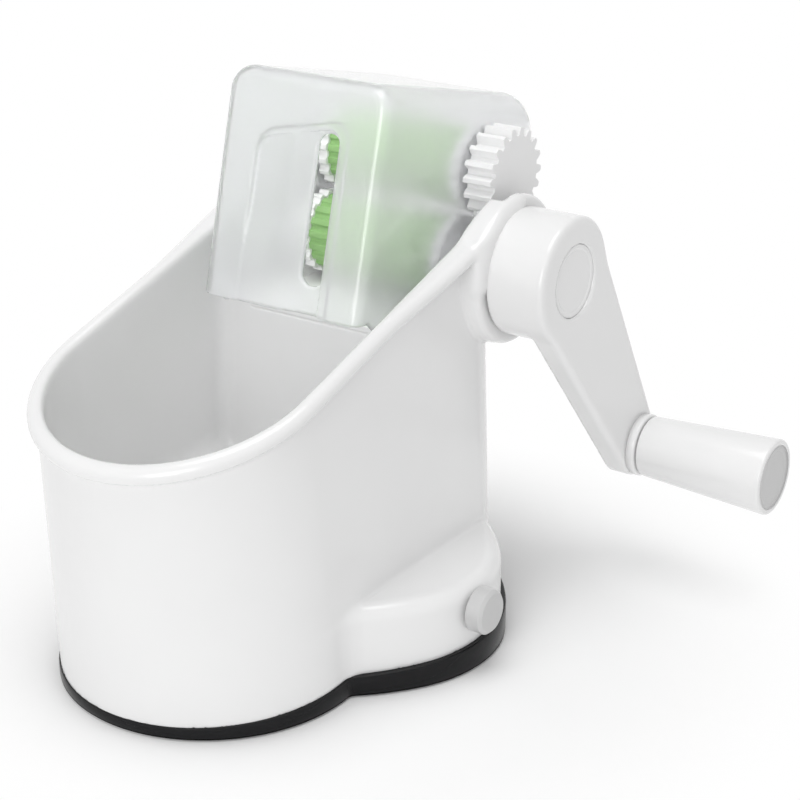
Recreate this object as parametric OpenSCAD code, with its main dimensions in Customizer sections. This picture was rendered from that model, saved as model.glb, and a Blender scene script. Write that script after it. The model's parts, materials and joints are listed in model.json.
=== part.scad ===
// Hand-cranked pea sheller: a bowl with a leaning rim, a frosted roller cover at the back,
// two ribbed rollers geared together, a crank on the right and a suction foot below.
// Origin: centre of the round front lobe, on the table. +X is the crank side, -Y the front.

/* [Body] */
// Outer radius of the front wall at the table
body_foot_r = 50; // [46:0.5:54]
// Outer half width of the body at the reference height
body_top_hw = 46.2; // [45:0.2:50]
// How far the front wall leans forward at the reference height
body_lean = 8.5; // [2:0.5:12]
// Reference height for the lean and the taper
body_ref_h = 100; // [90:1:110]
// Outside of the rear wall, behind the front lobe's centre
body_rear_y = 104; // [100:0.5:108]
// Radius of the body's rear corners
rear_corner_r = 23; // [16:0.5:26]
// Wall thickness of the body
wall = 2.6; // [2:0.1:3]
// Height of the rim above the origin
rim_z = 107.7; // [104:0.1:112]
// Slope of the rim towards the rear, in degrees
rim_slope = 17; // [14:0.5:19]
// How far the rolled rim stands out of the wall
bead_out = 2.7; // [1:0.1:3]
// Height of the rolled rim
bead_h = 5.4; // [3:0.1:6]
// Top of the bowl's floor
floor_z = 40.5; // [40:0.5:46]
// Thickness of the bowl's floor
floor_t = 3; // [2:0.1:3.5]
// Front face of the wall behind the bowl
partition_y = 62; // [58:0.5:66]
// Height of the low wall at the rear, below the ears
rear_top_z = 98; // [95:0.5:100]

/* [Base] */
// Radius of the base ring's front lobe
front_r = 50; // [46:0.5:54]
// Width of the oval rear lobe
rear_w = 146; // [144:1:150]
// Depth of the oval rear lobe
rear_d = 120; // [116:1:124]
// Centre of the rear lobe, behind the front lobe's centre
rear_y = 47; // [45:0.5:49]
// Radius of the oval's two ends
rear_end_r = 44; // [42:0.5:48]
// Radius of the hollow at the waist between the lobes
waist_r = 4; // [3:0.5:8]
// Lip of the base ring outside the outline
ring_lip = 0.7; // [0.5:0.1:1.5]
// Width of the base ring inside the outline
ring_in = 5; // [4.8:0.1:6]
// Height of the step at the ring's foot
ring_step = 0.8; // [0.5:0.1:1.5]
// Height of the ring's top at the origin
seat_z = 7; // [6:0.1:8]
// Slope of the ring's top towards the rear, in degrees
seat_slope = 3; // [1:0.1:3.5]
// Thickness of the bottom plate
plate_t = 3; // [2:0.1:3.5]
// Height of the housing over the rear lobe
bulge_top_z = 30; // [29:0.2:31]
// How far the housing stands inside the base outline
bulge_in = 1.2; // [1:0.1:2]

/* [Base screws] */
// Distance of the front screws from the middle
screw_front_x = 30; // [20:1:34]
// Place of the front screws along the body
screw_front_y = -18; // [-24:1:-12]
// Distance of the rear screws from the middle
screw_rear_x = 50; // [46:1:54]
// Place of the rear screws along the body
screw_rear_y = 68; // [64:1:72]
// Radius of a screw's thread
screw_r = 1.6; // [1.2:0.1:2]
// Length of a screw under its head
screw_l = 11; // [8:0.5:14]
// Radius of a screw's head
screw_head_r = 3.2; // [2.8:0.1:3.6]
// Height of a screw's head
screw_head_h = 1.6; // [1.2:0.1:2]
// Outer radius of a screw's boss
boss_r = 4.5; // [4:0.1:6]

/* [Drive] */
// Place of the lower roller's axis behind the origin
axis_y = 99; // [98:0.5:100]
// Height of the lower roller's axis
axis_z = 116; // [115:0.5:117]
// Teeth on each gear
teeth = 18; // [16:2:20]
// Distance between the two roller axes
axis_gap = 30; // [29.6:0.1:31]
// Lean of the upper axis behind the lower one, in degrees
axis_lean = 22.8; // [18:0.2:26]
// Pressure angle of the teeth, in degrees
pressure = 25; // [20:1:27]
// Play between meshing teeth at the pitch circle
backlash = 0.3; // [0.2:0.05:0.5]
// Height of a tooth over the pitch circle, as a share of the module
tooth_top = 0.65; // [0.5:0.05:0.8]
// Depth of a gap under the pitch circle, as a share of the module
tooth_root = 1; // [0.9:0.05:1.25]
// Inner face of a gear, from the middle
gear_in_x = 32.4; // [32.2:0.1:33]
// Width of an upper gear
gear_w = 10.6; // [9:0.1:12]
// Inner face of a lower gear's teeth, from the middle
low_gear_x = 38.2; // [37.6:0.1:39]
// Width of a lower gear's teeth
low_gear_w = 8; // [6:0.1:9]
// Radius of the hub beside a lower gear's teeth
gear_hub_r = 8; // [7:0.1:9]
// Closed end of the upper gears
gear_cap_t = 2; // [1.5:0.1:3]
// Radius of the shafts
shaft_r = 4; // [3.5:0.1:4.5]
// Radius of a roller's sleeve over its ribs
roller_r = 13.1; // [12:0.1:13.6]
// Radius of a roller's hard core
core_r = 9; // [8:0.1:9.5]
// Half the length of a roller
roller_hl = 24.6; // [20:0.2:24.6]
// Ribs on a roller
ribs = 18; // [12:1:22]
// Radius of the grooves between the ribs
groove_r = 1.25; // [0.8:0.05:1.5]
// Radius of the toothed crowns at a roller's ends
crown_r = 14.4; // [13.6:0.1:14.6]
// Width of a crown
crown_w = 4; // [3:0.1:4.4]
// Radius of the grooves between a crown's teeth
crown_groove_r = 1.6; // [1:0.05:1.8]
// Outer radius of the bushes
bush_r = 6.5; // [6:0.1:7]
// Running clearance of a shaft in its bush, on the radius
run_clr = 0.05; // [0.03:0.01:0.08]
// Assembly clearance of a fixed fit, on the radius
fit_clr = 0.02; // [0.01:0.01:0.05]

/* [Ears] */
// Outer radius of the ears that carry the lower shaft
ear_r = 25; // [24:0.2:26]
// Inner radius of the gear pocket in an ear
pocket_r = 18.6; // [18.4:0.1:20]
// Depth of the ears' open top under the rim
ear_open = 10; // [8:0.5:14]
// Inner edge of an ear, from the middle
ear_in_x = 37.4; // [36:0.2:38]
// Outer face of an ear, from the middle
ear_out_x = 51.5; // [50.5:0.1:52]
// Thickness of an ear's outer wall
ear_t = 3; // [2.5:0.1:4]
// Height of the rear window in an ear
window_h = 15; // [10:0.5:18]
// Width of the rear window in an ear
window_w = 6; // [4:0.5:8]

/* [Cover] */
// Front lower edge of the cover, behind the origin
cover_front_y = 36; // [34:0.5:38]
// Height of the cover's front lower edge
cover_front_z = 109.8; // [108:0.2:112]
// Lean of the cover's front face, in degrees
cover_lean = 14.5; // [12:0.1:17]
// Height of the sharp corner over the front face
cover_top_z = 182.9; // [180:0.1:186]
// Fall of the cover's top towards the rear, in degrees
cover_fall = 13.1; // [10:0.1:15]
// Room behind the upper roller inside the cover's rear
cover_rear_gap = 19; // [13:0.1:20]
// Gap between a side of the cover and the gears
cover_gear_gap = 0.7; // [0.5:0.1:1]
// Height of the side plates' lower edge
cover_foot_z = 104; // [103:0.2:105]
// Rise of the front edge over the side plates' lower edge, along the body
cover_step_y = 12; // [10:0.5:16]
// Slope of the side plates' rear edge, in degrees
cover_rear_slope = 15; // [10:0.5:18]
// Thickness of the cover
cover_t = 1.9; // [1.6:0.1:2]
// Radius of the edges round the cover's front face
cover_edge_r = 4.5; // [3.5:0.1:6]
// Radius of the edges between the cover's top and its sides
cover_side_r = 8.5; // [6:0.1:10]
// Radius of the cover's rear top edge
cover_rear_r = 12; // [8:0.5:13]
// Lower edge of the cover's rear lip
cover_lip_z = 154; // [150:0.5:155]
// Left edge of the front slot, from the middle
slot_in_x = 6; // [4:0.2:6]
// Right edge of the front slot, from the middle
slot_out_x = 14.6; // [14.2:0.2:16]
// Lower edge of the front slot
slot_low_z = 118.5; // [115:0.5:122]
// Upper edge of the front slot
slot_top_z = 165.5; // [160:0.5:167]
// Radius of the slot's corners
slot_r = 4; // [3:0.5:4]

/* [Chute] */
// Thickness of the chute
chute_t = 2; // [1.6:0.1:2.4]
// Slope of the chute down to the bowl, in degrees
chute_slope = 1; // [0.5:0.5:3]
// Gap between the chute and the lower roller's crowns
chute_gap = 1.2; // [0.8:0.1:1.6]
// Rear end of the chute
chute_rear_y = 128; // [120:0.5:130]
// Clearance round the chute in the body
chute_clr = 0.3; // [0.2:0.05:0.5]

/* [Crank] */
// Gap between an ear and the turning hub
hub_gap = 0.8; // [0.5:0.1:1]
// Radius of the crank's hub
hub_r = 21.3; // [20:0.1:22]
// Length of the crank's hub
hub_l = 20.7; // [18:0.1:22]
// Wall of the hub
hub_wall = 3; // [2.5:0.1:4]
// Depth of the hollow in the hub
hub_hollow = 9; // [6:0.5:10]
// Outer radius of the tube round the shaft in the hub
hub_tube_r = 8; // [7:0.1:9]
// Radius of the round cap on the hub
cap_r = 12.2; // [11:0.1:14]
// Thickness of the round cap
cap_t = 2; // [1.5:0.1:2.5]
// Radius of the crank screw's thread
crank_screw_r = 2; // [1.6:0.1:2.5]
// Radius of the crank screw's head
crank_head_r = 4.5; // [4:0.1:5]
// Height of the crank screw's head
crank_head_h = 2.6; // [2:0.1:3]
// Length of the crank screw in the shaft
crank_screw_l = 9; // [6:0.5:10]
// Thickness of the crank's arm
arm_t = 9; // [7:0.2:11]
// Outward step of the arm's end
arm_out = 6.3; // [4:0.1:8]
// Reach of the arm to the rear
arm_dy = 40; // [34:0.5:44]
// Drop of the arm below the axis
arm_dz = 70; // [60:0.5:74]
// Radius of the arm's end
arm_end_r = 11.5; // [11:0.1:13]
// Radius of the handle's pin
pin_r = 3.5; // [3:0.1:4]
// Thickness of the collar at the handle
collar_t = 2.9; // [2:0.1:4]
// Radius of the collar at the handle
collar_r = 11; // [10:0.1:11.4]
// Length of the grip
grip_l = 47.5; // [40:0.5:54]
// Radius of the grip at the arm
grip_small_r = 10.6; // [9.5:0.1:11]
// Radius of the grip at its end
grip_big_r = 13.2; // [12:0.1:14]
// Radius of the pin's head
pin_head_r = 6; // [5.5:0.1:6.5]
// Height of the pin's head
pin_head_h = 3; // [2.5:0.1:3.5]
// Radius of the cap in the grip's end
grip_cap_r = 11.2; // [9:0.1:11.4]
// Thickness of the cap in the grip's end
grip_cap_t = 1.8; // [1.5:0.1:2.4]
// Axial play of the grip on its pin
grip_play = 0.4; // [0.3:0.05:0.6]
// Radius of the left shaft cap's neck
left_cap_r = 13.5; // [12:0.1:14.5]
// Radius of the left shaft cap's flange
left_flange_r = 15.5; // [15:0.1:18]
// Length of the left shaft cap
left_cap_l = 11.7; // [10:0.1:15]
// Thickness of the left shaft cap's flange
left_flange_t = 3; // [2:0.1:4]

/* [Suction] */
// Place of the suction foot and its knob behind the origin
knob_y = 44; // [43:0.5:46]
// Height of the knob's axis
knob_z = 21; // [20.5:0.1:21.5]
// Radius of the knob
knob_r = 7.5; // [7:0.1:8.4]
// Thickness of the knob
knob_t = 6; // [5:0.1:8]
// Gap between the knob and the housing
knob_gap = 0.4; // [0.3:0.05:0.6]
// Radius of the cam shaft
cam_shaft_r = 3; // [2.6:0.1:3.1]
// Radius of the cam where it starts
cam_r = 3.2; // [3.1:0.05:3.4]
// Lift of the cam over a quarter turn
cam_lift = 3; // [2:0.1:3]
// Width of the cam
cam_w = 7; // [5:0.1:7.4]
// Clearance round the cam in the stem's window
cam_clr = 0.3; // [0.25:0.05:0.5]
// Width of the stem's yoke along the shaft
yoke_w = 8; // [6:0.1:9]
// Half width of the window in the yoke
yoke_hw = 7.2; // [7:0.1:8]
// Thickness of the yoke's bars
yoke_t = 3; // [2.5:0.1:3.2]
// Radius of the stem
stem_r = 4; // [3.5:0.1:4.5]
// Radius of the suction cup
cup_r = 34; // [30:0.5:36]
// Height of the suction cup's dome
cup_h = 5.5; // [4:0.1:6]
// Thickness of the suction cup
cup_t = 2.2; // [1.8:0.1:2.6]
// Radius of the hub on the suction cup
cup_hub_r = 9; // [8:0.1:11]
// Height of the suction cup's hub
cup_hub_z = 10; // [9.5:0.1:10.3]
// Gap round the suction cup in the bottom plate
cup_gap = 2; // [1:0.1:3]

/* [Hidden] */
$fn = 64;
big = 400;
cut = 1;
// Small clearances and webs
hole_clr = 0.3;
plate_gap = 0.2;
stem_play = 0.5;
web_t = 3;
left_seat = 4;
pin_seat = 1.5;
arm_inset = 0.8;
gear_clr = 1.5;
crown_clr = 0.6;
crown_lap = 0.2;
wall_end = 5;

// The two roller axes as [y, z]
low_axis = [axis_y, axis_z];
up_axis = low_axis + axis_gap * [sin(axis_lean), cos(axis_lean)];
mesh_angle = 90 - axis_lean;

// Gear sizes
gear_m = axis_gap / teeth;
pitch_r = axis_gap / 2;
tip_r = pitch_r + tooth_top * gear_m;
root_r = pitch_r - tooth_root * gear_m;
gear_out_x = gear_in_x + gear_w;

// Places along the crank's axis
hub_x = ear_out_x + hub_gap;
hub_face_x = hub_x + hub_l;
cap_seat_x = hub_face_x - cap_t;
web_out_x = cap_seat_x - crank_head_h - cut;
shaft_end_x = web_out_x - web_t;
arm_end_x = hub_face_x + arm_out;
handle = low_axis + [arm_dy, -arm_dz];
grip_x = arm_end_x + collar_t + grip_play;
grip_end_x = grip_x + grip_l;
grip_cap_x = grip_end_x - grip_cap_t;
pin_head_x = grip_cap_x - grip_play - pin_head_h;
left_end_x = hub_x + left_cap_l;

// The rolled rim in three bands, each with its share of the height and of the outset
bead_bands = [[0.45, 1], [0.8, 0.8], [1, 0.45]];

// Body forms
form_low = -seat_z;
form_high = cover_top_z;
slice_t = 0.01;
ear_wall_x = ear_out_x - ear_t;
ear_web_x = body_top_hw - wall;
ear_cut_y = axis_y - wall_end;
rear_wall_y = partition_y + wall;
floor_low_z = floor_z - floor_t;
function half_w(z) = body_foot_r - (body_foot_r - body_top_hw) * z / body_ref_h;

// The oval rear lobe: two end arcs and two flatter side arcs, all tangent
oval_x = rear_w / 2 - rear_end_r;
oval_b = rear_d / 2 - rear_end_r;
oval_dy = (oval_x * oval_x - oval_b * oval_b) / (2 * oval_b);
oval_r = rear_end_r + oval_b + oval_dy;
// The waist's hollow touches the front lobe and the oval's front arc
arc_y = rear_y + oval_dy;
waist_y = (arc_y * arc_y + pow(front_r + waist_r, 2) - pow(oval_r + waist_r, 2)) / (2 * arc_y);
waist_x = sqrt(pow(front_r + waist_r, 2) - waist_y * waist_y);

// Cover corners as [y, z], with inward normals of the front and top faces
front_n = [cos(cover_lean), -sin(cover_lean)];
top_n = [-sin(cover_fall), -cos(cover_fall)];
cover_hw = gear_in_x - cover_gear_gap;
cover_top_y = cover_front_y + (cover_top_z - cover_front_z) * tan(cover_lean);
cover_rear_y = up_axis[0] + roller_r + cover_rear_gap + cover_t;
cover_rear_z = cover_top_z - (cover_rear_y - cover_top_y) * tan(cover_fall);
cover_low = cover_foot_z - 3 * cover_edge_r;
cover_drop = cover_front_z - cover_low;
cover_low_y = cover_front_y - cover_drop * tan(cover_lean) + cover_edge_r / cos(cover_lean);
cover_heel_y = cover_rear_y - (cover_lip_z - cover_foot_z) * tan(cover_rear_slope);
// The point at one distance inside each of two faces that meet at a corner
function corner_in(p, n1, r1, n2, r2) =
  let (k = n1 * n2) p + ((r1 - k * r2) * n1 + (r2 - k * r1) * n2) / (1 - k * k);
side_play = 0.5;
bush_in_x = roller_hl + side_play;
bush_out_x = gear_in_x - side_play;

// The chute's walls stand under the cover's side plates, and it ends at the wall behind the bowl
chute_hw = cover_hw - chute_t;
chute_z = axis_z - crown_r - chute_gap;
chute_front_y = partition_y;

// Suction parts
knob_wall_x = oval_x + sqrt(pow(rear_end_r - bulge_in, 2) - pow(knob_y - rear_y, 2));
knob_x = knob_wall_x + knob_gap;
knob_seat = 2;
cam_end_x = knob_x + knob_t - knob_seat;
bracket_t = wall;
bracket_x = yoke_w / 2 + bracket_t;
bracket_hw = knob_r - plate_gap;
cam_tail_x = -bracket_x - bracket_t - cut;
window_top = knob_z + cam_r + cam_clr;
window_low = knob_z - cam_r - cam_lift - stem_play;
guide_z = window_top + yoke_t + cam_lift + stem_play;
guide_r = stem_r + wall;
stem_top = floor_low_z - cam_lift - stem_play;
cup_lip_t = 1;
stem_foot = cup_h - cup_lip_t;
cup_foot = 0.3;
cup_lip_w = 5;

module xcyl(r, x0, x1, at) {
  translate([x0, at[0], at[1]]) rotate([0, 90, 0]) cylinder(r = r, h = x1 - x0);
}

module xtube(r, bore, x0, x1, at) {
  difference() {
    xcyl(r, x0, x1, at);
    xcyl(bore, x0 - cut, x1 + cut, at);
  }
}

// An outline in Y and Z, drawn out along X
module along_x(x0, x1) {
  translate([x0, 0, 0]) rotate([90, 0, 90]) linear_extrude(x1 - x0) children();
}

// An outline in X and Z, drawn out along Y
module along_y(y0, y1) {
  translate([0, y1, 0]) rotate([90, 0, 0]) linear_extrude(y1 - y0) children();
}

module both_sides() {
  children();
  mirror([1, 0, 0]) children();
}

// Space over the base ring's sloping top
module above_seat() {
  translate([0, 0, seat_z]) rotate([seat_slope, 0, 0])
    translate([-big, -big, 0]) cube([2 * big, 2 * big, big]);
}

// Space between two depths under the sloping rim
module rim_slab(depth, thick) {
  translate([0, 0, rim_z]) rotate([rim_slope, 0, 0])
    translate([-big, -big, -depth]) cube([2 * big, 2 * big, thick]);
}

module base_outline(d) {
  circle(front_r + d);
  for (s = [-1, 1]) {
    translate([s * oval_x, rear_y]) circle(rear_end_r + d);
    intersection() {
      translate([0, rear_y - s * oval_dy]) circle(oval_r + d);
      polygon([
        [0, rear_y - s * oval_dy],
        [-3 * oval_x, rear_y + 2 * s * oval_dy],
        [-oval_x, rear_y + big * s],
        [oval_x, rear_y + big * s],
        [3 * oval_x, rear_y + 2 * s * oval_dy]
      ]);
    }
  }
  waist_fill(d);
  mirror([1, 0]) waist_fill(d);
}

// Rounded hollow between the front lobe and the oval, on the right
module waist_fill(d) {
  difference() {
    polygon([[0, 0], [waist_x, waist_y], [0, arc_y]]);
    translate([waist_x, waist_y]) circle(waist_r - d);
  }
}

module form_slice(z, inset) {
  hw = half_w(z);
  translate([0, -body_lean * z / body_ref_h, z]) cylinder(r = hw - inset, h = slice_t);
  for (s = [-1, 1])
    translate([s * (hw - rear_corner_r), body_rear_y - rear_corner_r, z])
      cylinder(r = rear_corner_r - inset, h = slice_t);
}

// The body's closed form, drawn in by a distance
module body_form(inset) {
  hull() {
    form_slice(form_low, inset);
    form_slice(form_high, inset);
  }
}

module box(x0, x1, y0, y1, z0, z1) {
  translate([x0, y0, z0]) cube([x1 - x0, y1 - y0, z1 - z0]);
}

module screw_places() {
  for (s = [-1, 1]) {
    translate([s * screw_front_x, screw_front_y, 0]) children();
    translate([s * screw_rear_x, screw_rear_y, 0]) children();
  }
}

// Space over the chute's sloping floor, widened by a distance
module chute_form(out) {
  hw = chute_hw + out;
  translate([0, axis_y, chute_z - out]) rotate([chute_slope, 0, 0])
    translate([-hw, -big, 0]) cube([2 * hw, 2 * big, big]);
}

module bulge(inset, top) {
  translate([0, 0, -form_high + top]) linear_extrude(form_high) base_outline(-bulge_in - inset);
}

module shell_walls() {
  difference() {
    intersection() {
      union() {
        intersection() {
          body_form(0);
          rim_slab(big, big);
        }
        for (b = bead_bands) intersection() {
          body_form(-bead_out * b[1]);
          rim_slab(bead_h * (1 + b[0]) / 2, bead_h * b[0]);
        }
        bulge(0, bulge_top_z);
      }
      above_seat();
    }
    // Bowl, the space behind it, and the hollow under the floor
    intersection() {
      body_form(wall);
      union() {
        box(-big, big, -big, partition_y, floor_z, big);
        box(-big, big, rear_wall_y, big, floor_z, big);
        box(-big, big, -big, big, -big, floor_low_z);
        box(-big, big, partition_y - cut, big, cover_foot_z - plate_gap, big);
      }
    }
    bulge(wall, bulge_top_z - wall);
    box(-big, big, ear_cut_y, big, rear_top_z, big);
  }
}

module body_shell() {
  color("white") difference() {
    union() {
      shell_walls();
      both_sides() ear();
      screw_bosses();
      cam_carriers();
    }
    both_sides() {
      xcyl(pocket_r, ear_in_x - cut, ear_wall_x, low_axis);
      xcyl(tip_r + gear_clr, ear_in_x - cut, ear_wall_x, up_axis);
      xcyl(bush_r + fit_clr, ear_wall_x - cut, ear_out_x + cut, low_axis);
      box(ear_in_x + wall, ear_in_x + wall + window_w, axis_y, axis_y + big,
        axis_z - window_h / 2, axis_z + window_h / 2);
    }
    screw_places() translate([0, 0, plate_t - cut]) cylinder(r = screw_r, h = screw_l);
    xcyl(cam_shaft_r + run_clr, cam_tail_x - cut, knob_x + cut, [knob_y, knob_z]);
    translate([0, knob_y, guide_z - cut])
      cylinder(r = stem_r + run_clr, h = floor_low_z - guide_z + cut);
    intersection() {
      chute_form(chute_t + chute_clr);
      box(-big, big, partition_y - cut, big, floor_z, big);
    }
  }
}

// An ear: a round plate on the side wall with a web up to the rim in front of it,
// and a trough round the lower gear, open above
module ear() {
  xcyl(ear_r, ear_web_x, ear_out_x, low_axis);
  intersection() {
    box(ear_web_x, ear_out_x, axis_y - ear_r, axis_y, axis_z, big);
    rim_slab(big, big);
  }
  difference() {
    xcyl(ear_r, ear_in_x, ear_web_x + cut, low_axis);
    rim_slab(ear_open, big);
  }
}

// Posts for the base screws, from the bottom plate up to the floor and the housing's roof
module screw_bosses() {
  screw_places() translate([0, 0, plate_t]) cylinder(r = boss_r, h = bulge_top_z - wall / 2 - plate_t);
  for (s = [-1, 1])
    translate([s * screw_front_x, screw_front_y, plate_t])
      cylinder(r = boss_r, h = floor_low_z + floor_t / 2 - plate_t);
}

// What carries the cam shaft and guides the stem
module cam_carriers() {
  for (x = [-bracket_x - bracket_t, bracket_x])
    box(x, x + bracket_t, knob_y - bracket_hw, knob_y + bracket_hw,
      knob_z - bracket_hw, floor_low_z + floor_t / 2);
  translate([0, knob_y, guide_z]) cylinder(r = guide_r, h = floor_low_z + floor_t / 2 - guide_z);
  xcyl(cam_shaft_r + wall, knob_wall_x - 3 * wall, knob_wall_x - wall / 2, [knob_y, knob_z]);
}

module base_ring() {
  color("#1b1b1d") difference() {
    union() {
      linear_extrude(ring_step) base_outline(0);
      translate([0, 0, ring_step]) linear_extrude(2 * seat_z) base_outline(ring_lip);
    }
    translate([0, 0, -cut]) linear_extrude(big) base_outline(-ring_in);
    above_seat();
  }
}

module bottom_plate() {
  color("#232326") difference() {
    linear_extrude(plate_t) base_outline(-ring_in - plate_gap);
    translate([0, knob_y, -cut]) cylinder(r = cup_r + cup_gap, h = plate_t + 2 * cut);
    screw_places() {
      translate([0, 0, -cut]) cylinder(r = screw_r + hole_clr, h = plate_t + 2 * cut);
      translate([0, 0, -cut]) cylinder(r = screw_head_r + hole_clr, h = cut + screw_head_h + plate_gap);
    }
  }
}

module base_screws() {
  color("silver") screw_places() difference() {
    union() {
      translate([0, 0, plate_gap]) cylinder(r = screw_head_r, h = screw_head_h);
      translate([0, 0, plate_gap]) cylinder(r = screw_r - fit_clr, h = screw_l);
    }
    for (a = [0, 90]) rotate(a) box(-screw_r, screw_r, -screw_r / 4, screw_r / 4, 0, screw_head_h / 2);
  }
}

module suction_cup() {
  color("#202022") translate([0, knob_y, 0]) difference() {
    union() {
      rotate_extrude() polygon([
        [0, cup_h - cup_t],
        [cup_hub_r, cup_h - cup_t],
        [cup_r - cup_lip_w, cup_foot],
        [cup_r, cup_foot],
        [cup_r, cup_foot + cup_lip_t],
        [cup_r - cup_lip_w, cup_foot + cup_t],
        [cup_hub_r, cup_h],
        [0, cup_h]
      ]);
      translate([0, 0, cup_h - cup_t]) cylinder(r = cup_hub_r, h = cup_hub_z - cup_h + cup_t);
    }
    translate([0, 0, stem_foot - hole_clr]) cylinder(r = stem_r + hole_clr, h = big);
  }
}

module feed_chute() {
  color("white") difference() {
    intersection() {
      chute_form(chute_t);
      box(-big, big, chute_front_y, chute_rear_y, 0, cover_foot_z);
    }
    chute_form(0);
  }
}

// A ring with its axis along Z, drawn in by a distance
module cover_ring(ring_r, tube_r, shrink) {
  rotate_extrude($fn = 48) translate([ring_r - tube_r, 0]) intersection() {
    circle(tube_r - shrink, $fn = 32);
    translate([tube_r - ring_r, -tube_r]) square([ring_r, 2 * tube_r]);
  }
}

// The cover's closed form, drawn in by a distance
module cover_form(shrink) {
  front = corner_in([cover_top_y, cover_top_z], front_n, cover_edge_r, top_n, cover_side_r);
  rear = corner_in([cover_rear_y, cover_rear_z], [-1, 0], cover_rear_r, top_n, cover_rear_r);
  hull() for (s = [-1, 1]) {
    translate([s * (cover_hw - cover_side_r), front[0], front[1]]) rotate([90 - cover_fall, 0, 0])
      cover_ring(cover_side_r, cover_edge_r, shrink);
    translate([s * (cover_hw - cover_side_r), rear[0], rear[1]]) rotate([0, 90, 0])
      cover_ring(cover_rear_r, cover_side_r, shrink);
    for (y = [cover_low_y, cover_rear_y - cover_edge_r])
      translate([s * (cover_hw - cover_edge_r), y, cover_low]) sphere(r = cover_edge_r - shrink, $fn = 32);
  }
}

module roller_cover() {
  past = 2 * cover_rear_r;
  color("#e8eceb") difference() {
    intersection() {
      cover_form(0);
      along_x(-big, big) polygon([
        [cover_front_y - past, cover_front_z],
        [cover_front_y + cover_step_y / 2, cover_front_z],
        [cover_front_y + cover_step_y, cover_foot_z],
        [cover_heel_y, cover_foot_z],
        [cover_rear_y, cover_lip_z],
        [cover_rear_y + past, cover_lip_z],
        [cover_rear_y + past, cover_top_z + past],
        [cover_front_y - past, cover_top_z + past]
      ]);
    }
    cover_form(cover_t);
    // Open rear below the lip
    box(-cover_hw + cover_t, cover_hw - cover_t, axis_y, cover_rear_y + past, cover_low, cover_lip_z);
    // Front slot with round corners
    along_y(cover_front_y - past, cover_top_y + slot_r) rounded_slot();
    both_sides() for (a = [low_axis, up_axis])
      xcyl(bush_r + fit_clr, roller_hl, gear_in_x, a);
  }
}

module rounded_slot() {
  width = slot_out_x - slot_in_x;
  height = slot_top_z - slot_low_z;
  translate([slot_in_x, slot_low_z]) {
    for (x = [slot_r, width - slot_r], z = [slot_r, height - slot_r]) translate([x, z]) circle(slot_r);
    translate([0, slot_r]) square([width, height - 2 * slot_r]);
    translate([slot_r, 0]) square([width - 2 * slot_r, height]);
  }
}

module cover_bushes() {
  color("gainsboro") both_sides() for (a = [low_axis, up_axis])
    xtube(bush_r, shaft_r + run_clr, bush_in_x, bush_out_x, a);
}

module ear_bushes() {
  color("gainsboro") both_sides() xtube(bush_r, shaft_r + run_clr, ear_wall_x, ear_out_x, low_axis);
}

// Outline of a ribbed ring
module ribbed(r, bore, groove) {
  difference() {
    circle(r);
    circle(bore);
    for (i = [0 : ribs - 1])
      rotate(i * 360 / ribs) translate([r + groove / 4, 0]) circle(groove, $fn = 24);
  }
}

// A roller's core, with a toothed crown round the bush at each end
module roller_core(a) {
  core_hl = roller_hl + crown_lap;
  xtube(core_r, shaft_r + fit_clr, -core_hl, core_hl, a);
  both_sides() along_x(roller_hl, roller_hl + crown_w) translate(a)
    ribbed(crown_r, bush_r + crown_clr, crown_groove_r);
}

module roller_sleeve(a) {
  along_x(-roller_hl, roller_hl) translate(a) ribbed(roller_r, core_r + fit_clr, groove_r);
}

// Angle between a tooth's middle and its flank at a radius
function inv(a) = tan(a) * 180 / PI - a;
function flank(r) = 90 / teeth - backlash / pitch_r * 45 / PI + inv(pressure) - inv(acos(base_r / r));
base_r = pitch_r * cos(pressure);
flank_steps = 5;
flank_low_r = max(base_r, root_r + 0.1);
flank_radii = [for (i = [0 : flank_steps]) flank_low_r + (tip_r - flank_low_r) * i / flank_steps];
function polar(r, a) = r * [cos(a), sin(a)];
gear_points = [
  for (t = [0 : teeth - 1]) each concat(
    [polar(root_r, t * 360 / teeth - flank(flank_low_r) - 0.5)],
    [for (i = [0 : flank_steps]) polar(flank_radii[i], t * 360 / teeth - flank(flank_radii[i]))],
    [for (i = [flank_steps : -1 : 0]) polar(flank_radii[i], t * 360 / teeth + flank(flank_radii[i]))],
    [polar(root_r, t * 360 / teeth + flank(flank_low_r) + 0.5)]
  )
];

module toothed(a, turn, x0, x1) {
  along_x(x0, x1) translate(a) rotate(turn) polygon(gear_points);
}

// A lower gear on the right: teeth, and a hub that keeps them off the cover
module low_gear() {
  teeth_end_x = low_gear_x + low_gear_w;
  difference() {
    union() {
      toothed(low_axis, mesh_angle, low_gear_x, teeth_end_x);
      xcyl(gear_hub_r, gear_in_x, low_gear_x + cut, low_axis);
    }
    xcyl(shaft_r + fit_clr, gear_in_x - cut, teeth_end_x + cut, low_axis);
  }
}

// An upper gear on the right, closed at its outer end
module up_gear() {
  difference() {
    toothed(up_axis, mesh_angle + 180 + 180 / teeth, gear_in_x, gear_out_x);
    xcyl(shaft_r + fit_clr, gear_in_x - cut, gear_out_x - gear_cap_t, up_axis);
  }
}

module lower_shaft() {
  color("silver") difference() {
    xcyl(shaft_r, -left_end_x + left_seat, shaft_end_x, low_axis);
    xcyl(crank_screw_r, shaft_end_x - crank_screw_l - cut, shaft_end_x + cut, low_axis);
  }
}

module lower_core() {
  color("white") roller_core(low_axis);
}

module lower_sleeve() {
  color("#5f9f45") roller_sleeve(low_axis);
}

module lower_gear_right() {
  color("white") low_gear();
}

module lower_gear_left() {
  color("white") mirror([1, 0, 0]) low_gear();
}

module upper_shaft() {
  end_x = gear_out_x - gear_cap_t - cut / 2;
  color("silver") xcyl(shaft_r, -end_x, end_x, up_axis);
}

module upper_core() {
  color("white") roller_core(up_axis);
}

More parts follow.
